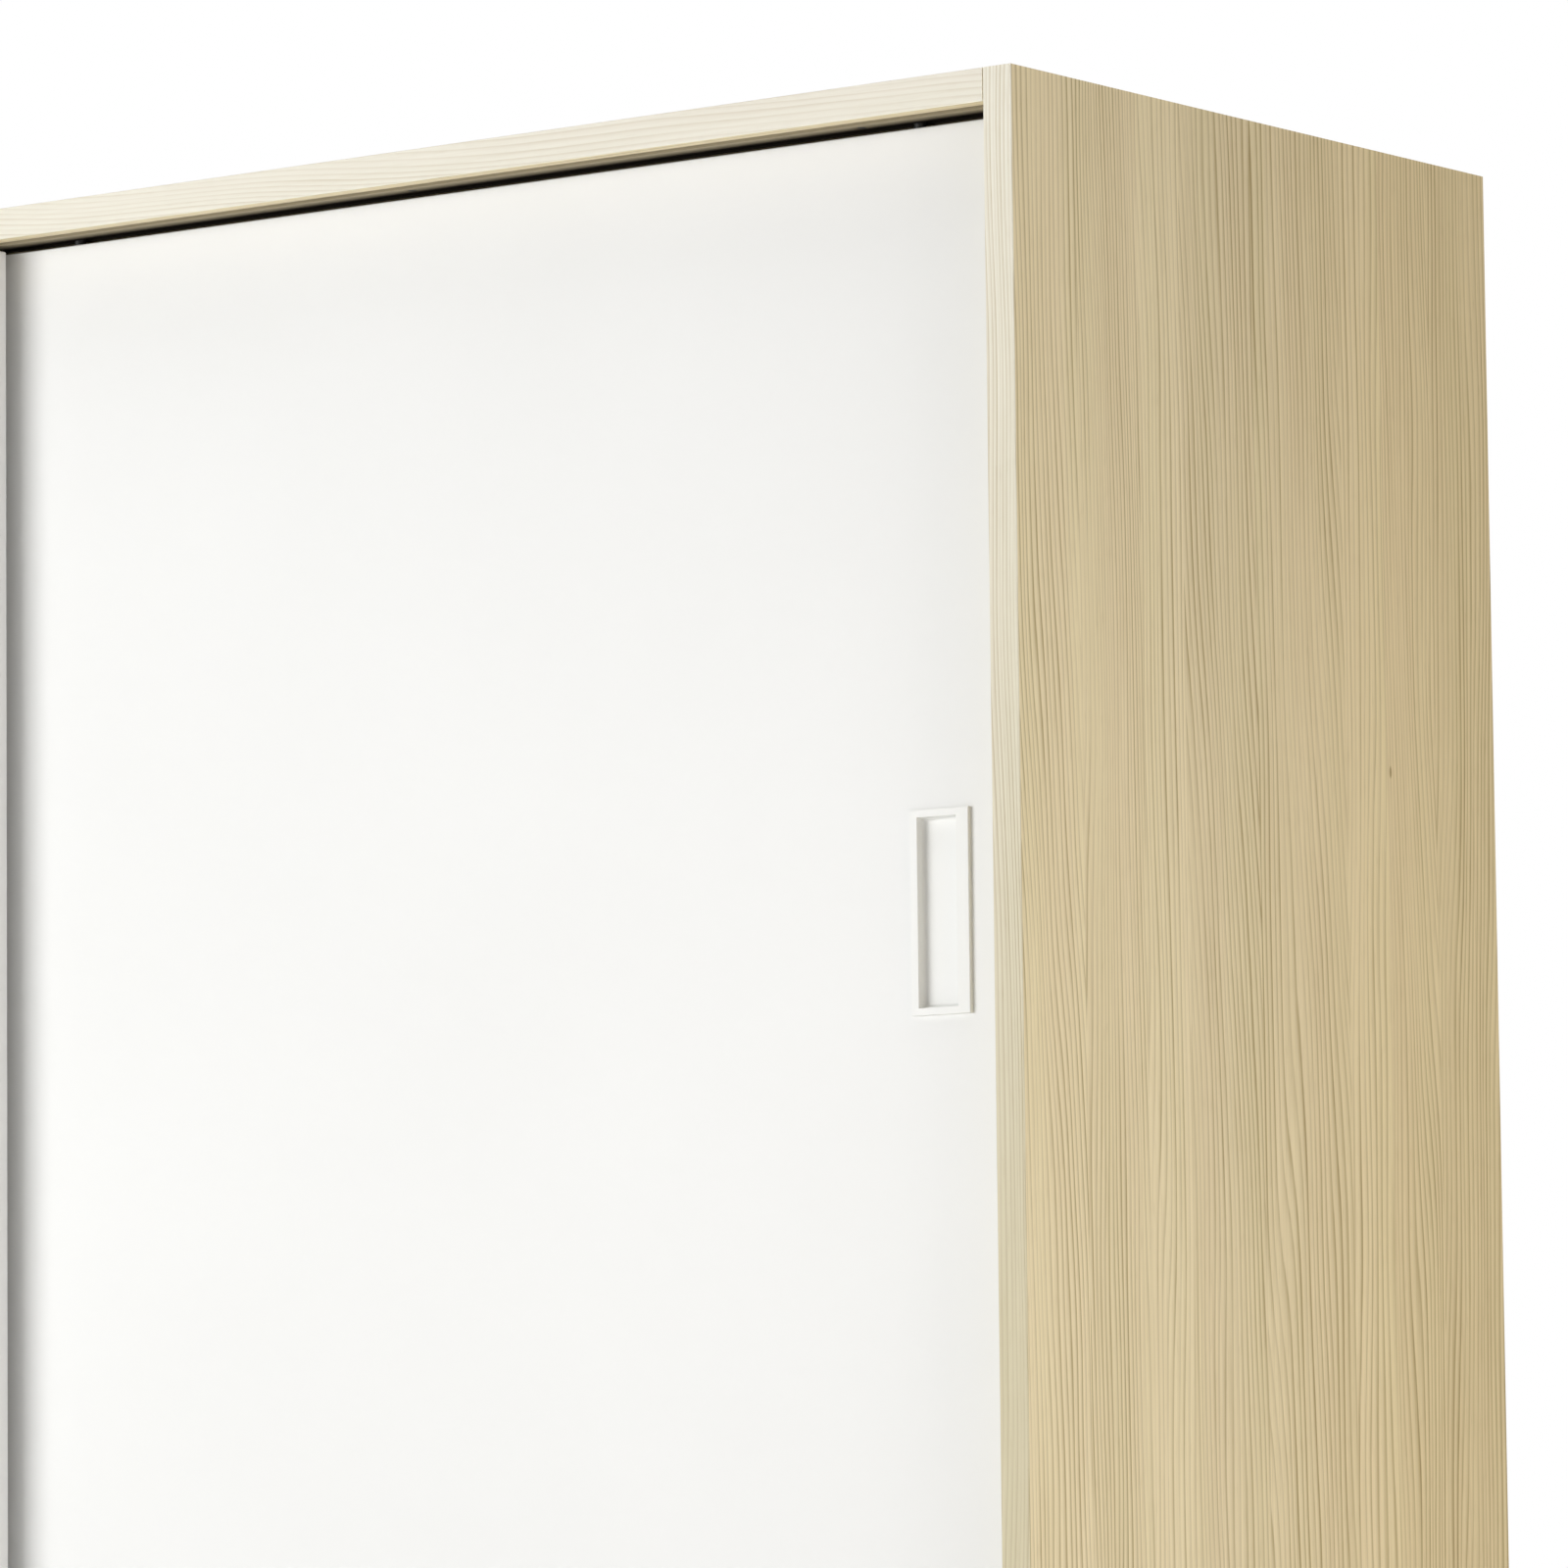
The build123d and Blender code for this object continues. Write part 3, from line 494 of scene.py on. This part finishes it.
def lacquered(name, colour, sheen, relief):
    """Sprayed lacquer or smooth plastic in this colour."""
    made, tree, shader, coordinates = new_material(name)
    coat = add_group(tree, sprayed_lacquer)
    tree.links.new(coordinates["Object"], coat.inputs["Point"])
    coat.inputs["Colour"].default_value = colour
    coat.inputs["Sheen"].default_value = sheen
    tree.links.new(coat.outputs["Color"], shader.inputs["Base Color"])
    tree.links.new(coat.outputs["Roughness"], shader.inputs["Roughness"])
    shader.inputs["Specular IOR Level"].default_value = 0.5
    add_bump(tree, shader, coat.outputs["Height"], relief)
    return made


door_white = lacquered("door_lacquer", (0.875, 0.88, 0.865, 1), 0.34, 0.000012)


def cut_out(piece, cutters):
    """Takes the cutters' shapes out of the piece, and removes the cutters."""
    for cutter in cutters:
        bpy.ops.object.select_all(action="DESELECT")
        piece.select_set(True)
        bpy.context.view_layer.objects.active = piece
        bpy.ops.object.modifier_add(type="BOOLEAN")
        knife = piece.modifiers[-1]
        knife.operation = "DIFFERENCE"
        knife.object = cutter
        bpy.ops.object.modifier_apply(modifier=knife.name)
        bpy.data.objects.remove(cutter)


def solid_groups(node):
    """The box of each separate solid of a CAD node, found by the wide gaps between them along X."""
    least_gap = 0.1
    points = sorted((v.co.x, v.co.y, v.co.z) for v in nodes[node].data.vertices)
    groups = [[points[0]]]
    for point in points[1:]:
        if point[0] - groups[-1][-1][0] > least_gap:
            groups.append([])
        groups[-1].append(point)
    return [[Vector(limit(values) for values in zip(*group)) for limit in (min, max)] for group in groups]


def door_panel(door):
    """The panel: a board with eased edges, cut out for its pull and its four housings."""
    low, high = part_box(f"{door}_panel")
    panel = add_block(f"{door}_board", low, high)
    bpy.ops.object.mode_set(mode="EDIT")
    bpy.ops.mesh.select_all(action="SELECT")
    bpy.ops.mesh.bevel(offset=door_arris, segments=3, affect="EDGES")
    bpy.ops.object.mode_set(mode="OBJECT")
    spare = 0.01
    cutters = []
    for housing, reach in (("roller_housings", -spare), ("guide_housings", spare)):
        for housing_low, housing_high in solid_groups(f"{door}_{housing}"):
            bottom = housing_low.z + min(reach, 0)
            top = housing_high.z + max(reach, 0)
            cutters.append(add_block("mortise", (*housing_low.xy, bottom), (*housing_high.xy, top)))
    cutters.append(add_block("mortise", *pull_mortise(door)))
    cut_out(panel, cutters)
    soften(panel)
    dress(panel, door_white)
    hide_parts(f"{door}_panel")
    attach(panel, door)


# The pull's plate is wider on the side to grip. Its pocket and the thin box behind it lie within the plate.
pull_proud = 0.003
grip_flange = 0.010
far_flange = 0.006
end_flange = 0.005
pocket_depth = 0.007
pocket_wall = 0.0015


def pull_pocket(door):
    """The pocket's lowest and highest x and z."""
    low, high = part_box(f"{door}_pull")
    grip_right = door == "right_door"
    left_flange, right_flange = (far_flange, grip_flange) if grip_right else (grip_flange, far_flange)
    return low.x + left_flange, high.x - right_flange, low.z + end_flange, high.z - end_flange


def pull_mortise(door):
    """Where the pull's box is let into the door's front."""
    x_low, x_high, z_low, z_high = pull_pocket(door)
    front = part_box(f"{door}_pull")[0].y
    rear = front + pocket_depth + pocket_wall
    lowest = (x_low - pocket_wall, front, z_low - pocket_wall)
    highest = (x_high + pocket_wall, rear, z_high + pocket_wall)
    return lowest, highest


for door in ("left_door", "right_door"):
    door_panel(door)


# ---------------------------------------------------------------- flush pulls
# Each pull is one moulding in white plastic: a flat plate that stands 3 mm proud of the door, with a deep
# pocket for the fingers. Its box is pressed into the mortise and screwed from behind.

pull_arris = 0.0004
pocket_fillet = 0.0028


def pull(door):
    """A plate on the door's face, its pocket pushed in from the front and its box pushed out behind."""
    low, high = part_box(f"{door}_pull")
    x_low, x_high, z_low, z_high = pull_pocket(door)
    plate_rear = low.y + pull_proud
    plate = add_block(f"{door}_flush_pull", low, (high.x, plate_rear, high.z))

    def reach_in(face_normal_y, margin, depth):
        """Insets the front or rear face to the pocket's outline plus a margin, then pushes it back."""
        pick(plate, "FACE", lambda face: face.normal.y * face_normal_y > 0.9)
        bpy.ops.mesh.inset(thickness=end_flange - margin)
        inset_width = (high.x - low.x) - 2 * (end_flange - margin)
        pocket_width = x_high - x_low + 2 * margin
        centre = Vector(((low.x + high.x) / 2, low.y, (z_low + z_high) / 2))
        bpy.ops.transform.resize(value=(pocket_width / inset_width, 1, 1), center_override=centre)
        bpy.ops.transform.translate(value=((x_low + x_high) / 2 - centre.x, 0, 0))
        bpy.ops.mesh.extrude_region_move(TRANSFORM_OT_translate={"value": (0, depth, 0)})
        bpy.ops.object.mode_set(mode="OBJECT")

    reach_in(1, pocket_wall, pocket_depth + pocket_wall - pull_proud)
    reach_in(-1, 0.0, pocket_depth)
    floor = low.y + pocket_depth

    def floor_edge(edge):
        a, b = edge_ends(plate, edge)
        return abs(a.y - floor) < near and abs(b.y - floor) < near

    def plate_edge(edge):
        a, b = edge_ends(plate, edge)
        at_front = abs(a.y - low.y) < near and abs(b.y - low.y) < near
        square = abs(a.x - b.x) < near or abs(a.z - b.z) < near
        return at_front and square

    pick(plate, "EDGE", floor_edge)
    bpy.ops.mesh.bevel(offset=pocket_fillet, segments=6, affect="EDGES")
    pick(plate, "EDGE", plate_edge)
    bpy.ops.mesh.bevel(offset=pull_arris, segments=3, affect="EDGES")
    bpy.ops.object.mode_set(mode="OBJECT")
    soften(plate)
    dress(plate, pull_white)
    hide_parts(f"{door}_pull")
    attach(plate, door)


pull_white = lacquered("pull_plastic", (0.88, 0.885, 0.86, 1), 0.30, 0.000006)
for door in ("left_door", "right_door"):
    pull(door)


# ---------------------------------------------------------------- door fittings
# Moulded grey housings are let into the doors' edges. Below, white nylon wheels turn on steel pins and
# ride on the rails; above, sprung black pins run in the channels.

def moulded(name, colour, rough, grain_scale=900.0, relief=0.00002, gloss=0.5):
    """Moulded plastic with a fine spark-eroded skin."""
    made, tree, shader, coordinates = new_material(name)
    skin = cloud(tree, coordinates["Object"], grain_scale, 3.0, 0.6)
    flow = cloud(tree, coordinates["Object"], 18.0, 2.0)
    lighter = tuple(min(1.0, c * 1.18 + 0.01) for c in colour[:3]) + (1,)
    tree.links.new(tint(tree, flow, colour, lighter), shader.inputs["Base Color"])
    tree.links.new(calc(tree, "MULTIPLY_ADD", skin, 0.2, rough - 0.1), shader.inputs["Roughness"])
    shader.inputs["Specular IOR Level"].default_value = gloss
    add_bump(tree, shader, skin, relief)
    return made


def metal(name, colour, rough, brush=(1.0, 1.0, 1.0), relief=0.000004):
    """Plated or drawn metal, its fine marks stretched along the axis where the brush number is small."""
    made, tree, shader, coordinates = new_material(name)
    stretch = tree.nodes.new("ShaderNodeMapping")
    stretch.inputs["Scale"].default_value = brush
    tree.links.new(coordinates["Object"], stretch.inputs["Vector"])
    marks = cloud(tree, stretch.outputs[0], 900.0, 4.0, 0.6)
    patches = cloud(tree, coordinates["Object"], 60.0, 3.0)
    darker = tuple(c * 0.78 for c in colour[:3]) + (1,)
    tree.links.new(tint(tree, patches, darker, colour), shader.inputs["Base Color"])
    tree.links.new(calc(tree, "MULTIPLY_ADD", marks, 0.22, rough - 0.08), shader.inputs["Roughness"])
    shader.inputs["Metallic"].default_value = 1.0
    add_bump(tree, shader, marks, relief)
    return made


housing_plastic = moulded("housing_plastic", (0.36, 0.37, 0.38, 1), 0.5)
nylon = moulded("nylon", (0.78, 0.77, 0.72, 1), 0.42)
pin_plastic = moulded("pin_plastic", (0.022, 0.022, 0.022, 1), 0.40)
zinc_steel = metal("zinc_plated_steel", (0.66, 0.67, 0.68, 1), 0.30)
for door in ("left_door", "right_door"):
    for piece in ("roller_housings", "guide_housings"):
        dress(nodes[f"{door}_{piece}"], housing_plastic)
    for piece in ("roller_axles", "fitting_screws", "pull_screws"):
        dress(nodes[f"{door}_{piece}"], zinc_steel)
    for piece in ("wheel_left", "wheel_right"):
        dress(nodes[f"{door}_{piece}"], nylon)
    for piece in ("guide_pin_left", "guide_pin_right"):
        dress(nodes[f"{door}_{piece}"], pin_plastic)


def pin_spring(door, side):
    """The coil spring that a guide pin stands on."""
    node = f"{door}_guide_spring_{side}"
    spring = bpy.data.objects.new(f"{door}_pin_spring_{side}", nodes[node].data.copy())
    bpy.context.scene.collection.objects.link(spring)
    bpy.ops.object.select_all(action="DESELECT")
    bpy.context.view_layer.objects.active = spring
    spring.select_set(True)
    bpy.ops.object.mode_set(mode="EDIT")
    bpy.ops.mesh.select_all(action="SELECT")
    bpy.ops.mesh.remove_doubles(threshold=0.000002)
    bpy.ops.object.mode_set(mode="OBJECT")
    bpy.ops.object.shade_smooth_by_angle(angle=math.radians(35))
    dress(spring, zinc_steel)
    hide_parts(node)
    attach(spring, door)
    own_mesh(spring)


for door in ("left_door", "right_door"):
    for side in ("left", "right"):
        pin_spring(door, side)


# ---------------------------------------------------------------- tracks
# The top track is an extruded tan plastic double channel, with painted shade that darkens it from its front
# lip into its channels, let in flush with the top board's underside. The bottom one is a drawn aluminium
# plate with a rib under each door.

def painted_shade_channel_plastic():
    """The track's tan plastic, with painted shade that darkens it to near black from its front lip inwards.
    """
    made = moulded("painted_shade_channel_plastic", (0.66, 0.57, 0.39, 1), 0.7, gloss=0.08)
    tree = made.node_tree
    shader = tree.nodes["Principled BSDF"]
    point = tree.nodes.new("ShaderNodeSeparateXYZ")
    tree.links.new(tree.nodes["Texture Coordinate"].outputs["Object"], point.inputs[0])
    low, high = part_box("top_track")
    # Painted shade: the tan plastic is darkened to near black from the front lip inwards, where shade falls
    # in the channels above the doors
    painted_shade_inward = between(tree, point.outputs["Y"], low.y - 0.002, low.y + 0.025)
    tan = shader.inputs["Base Color"].links[0].from_socket
    tree.links.new(tint(tree, painted_shade_inward, tan, (0.018, 0.014, 0.010, 1)), shader.inputs["Base Color"])
    return made


dress(nodes["top_track"], painted_shade_channel_plastic())
dress(nodes["bottom_track"], metal("drawn_aluminium", (0.72, 0.73, 0.74, 1), 0.34, brush=(0.01, 1.0, 1.0)))
dress(nodes["track_screws"], metal("blackened_steel", (0.09, 0.09, 0.09, 1), 0.45))


# ---------------------------------------------------------------- hanging bay
# A chromed steel tube hangs between two pressed cups. One cup is screwed to a side board and the other to
# the partition.

chrome = metal("chromed_steel", (0.80, 0.80, 0.81, 1), 0.14, brush=(0.02, 1.0, 1.0), relief=0.000001)
for name in ("clothes_rail", "rail_sockets"):
    dress(nodes[name], chrome)
dress(nodes["rail_socket_screws"], zinc_steel)


# ---------------------------------------------------------------- small fittings
# Zinc cams and bolts, beech dowels, steel shelf pins, wall angles and nails hold the carcase together.
# It stands on black nailed glides, and soft dots on the sides stop the doors.

def beech_wood():
    """Turned beech, its fibres along the dowel."""
    made, tree, shader, coordinates = new_material("beech")
    stretch = tree.nodes.new("ShaderNodeMapping")
    stretch.inputs["Scale"].default_value = (0.05, 1.0, 1.0)
    tree.links.new(coordinates["Object"], stretch.inputs["Vector"])
    fibre = cloud(tree, stretch.outputs[0], 900.0, 4.0, 0.6)
    colour = tint(tree, fibre, (0.42, 0.26, 0.13, 1), (0.62, 0.43, 0.25, 1))
    tree.links.new(colour, shader.inputs["Base Color"])
    tree.links.new(calc(tree, "MULTIPLY_ADD", fibre, 0.15, 0.55), shader.inputs["Roughness"])
    add_bump(tree, shader, fibre, 0.00003)
    return made


dress(nodes["wood_dowels"], beech_wood())
dress(nodes["glide_feet"], moulded("glide_plastic", (0.022, 0.022, 0.022, 1), 0.55))
dress(nodes["door_buffers"], moulded("buffer_rubber", (0.62, 0.62, 0.60, 1), 0.7))
for name in ("cam_locks", "cam_bolts", "shelf_pins", "wall_brackets", "wall_bracket_screws",
             "back_panel_nails"):
    dress(nodes[name], zinc_steel)


# ---------------------------------------------------------------- floor, light and camera
# The wardrobe stands on a pale studio floor in a white room. Soft lights stand at its front left, right, left
# and rear, with an even one above. The camera stands low, far to its right, and looks up at its top corner.

def floor_paint():
    """Matt pale paint with a faint mottle."""
    made, tree, shader, coordinates = new_material("floor_paint")
    mottle = cloud(tree, coordinates["Object"], 3.0, 4.0)
    colour = tint(tree, mottle, (0.80, 0.80, 0.79, 1), (0.84, 0.84, 0.83, 1))
    tree.links.new(colour, shader.inputs["Base Color"])
    tree.links.new(calc(tree, "MULTIPLY_ADD", mottle, 0.1, 0.6), shader.inputs["Roughness"])
    return made


bpy.ops.object.select_all(action="DESELECT")
bpy.ops.mesh.primitive_plane_add(size=40, location=(0, 0, 0))
studio_floor = active_piece("studio_floor")
dress(studio_floor, floor_paint())


def soft_light(name, location, target, width, height, power, colour=(1, 1, 1)):
    """A wide lamp that the camera doesn't see, turned to its target."""
    data = bpy.data.lights.new(name, "AREA")
    data.shape = "RECTANGLE"
    data.size = width
    data.size_y = height
    data.energy = power
    data.color = colour
    lamp = bpy.data.objects.new(name, data)
    bpy.context.scene.collection.objects.link(lamp)
    lamp.visible_camera = False
    lamp.location = location
    lamp.rotation_euler = (Vector(target) - Vector(location)).to_track_quat("-Z", "Y").to_euler()


soft_light("key_light", (-2.6, -4.8, 2.0), (0.2, -0.25, 1.5), 4.0, 2.4, 183)
soft_light("right_front_light", (5.0, -2.6, 1.8), (0.9, 0.0, 1.2), 2.5, 2.5, 21, (1.0, 0.86, 0.79))
soft_light("right_light", (2.7, -0.5, 1.1), (0.9, -0.4, 1.1), 1.4, 1.4, 16.8, (1.0, 0.97, 0.96))
soft_light("left_light", (-4.8, 1.6, 1.4), (-0.9, 0.1, 1.2), 2.5, 2.5, 65)
soft_light("rear_light", (0.0, 5.0, 2.4), (0.0, 0.3, 1.0), 3.0, 2.0, 110)

# A wide, even light from the ceiling
ceiling_data = bpy.data.lights.new("ceiling_light", "SUN")
ceiling_data.angle = 1.0
ceiling_data.energy = 1.6
ceiling_light = bpy.data.objects.new("ceiling_light", ceiling_data)
ceiling_light.location = (0.0, 0.0, 6.0)
bpy.context.scene.collection.objects.link(ceiling_light)

world = bpy.data.worlds.new("white_room")
bpy.context.scene.world = world
world.use_nodes = True
background = world.node_tree.nodes["Background"]
background.inputs["Color"].default_value = (1, 1, 1, 1)
background.inputs["Strength"].default_value = 0.05
seen = world.node_tree.nodes.new("ShaderNodeBackground")
seen.inputs["Color"].default_value = (1, 1, 1, 1)
seen.inputs["Strength"].default_value = 1.0
path = world.node_tree.nodes.new("ShaderNodeLightPath")
mix = world.node_tree.nodes.new("ShaderNodeMixShader")
world.node_tree.links.new(path.outputs["Is Camera Ray"], mix.inputs["Fac"])
world.node_tree.links.new(background.outputs[0], mix.inputs[1])
world.node_tree.links.new(seen.outputs[0], mix.inputs[2])
world.node_tree.links.new(mix.outputs[0], world.node_tree.nodes["World Output"].inputs["Surface"])

bpy.context.scene.view_settings.view_transform = "Standard"

camera_from_corner = Vector((3.141, -4.448, -1.0))
camera_turn = math.radians(36.816)
camera_tilt = math.radians(5.606)
camera_roll = math.radians(-0.6065)
near_corner = Vector((cad_high.x, cad_low.y, cad_high.z))
camera_data = bpy.data.cameras.new("camera")
camera_data.sensor_width = 36
camera_data.lens = 196.25
camera_data.clip_end = 100
camera = bpy.data.objects.new("camera", camera_data)
bpy.context.scene.collection.objects.link(camera)
facing = (Matrix.Rotation(camera_turn, 4, "Z") @ Matrix.Rotation(math.pi / 2 + camera_tilt, 4, "X")
          @ Matrix.Rotation(camera_roll, 4, "Z"))
camera.matrix_world = Matrix.Translation(near_corner + camera_from_corner) @ facing
bpy.context.scene.camera = camera
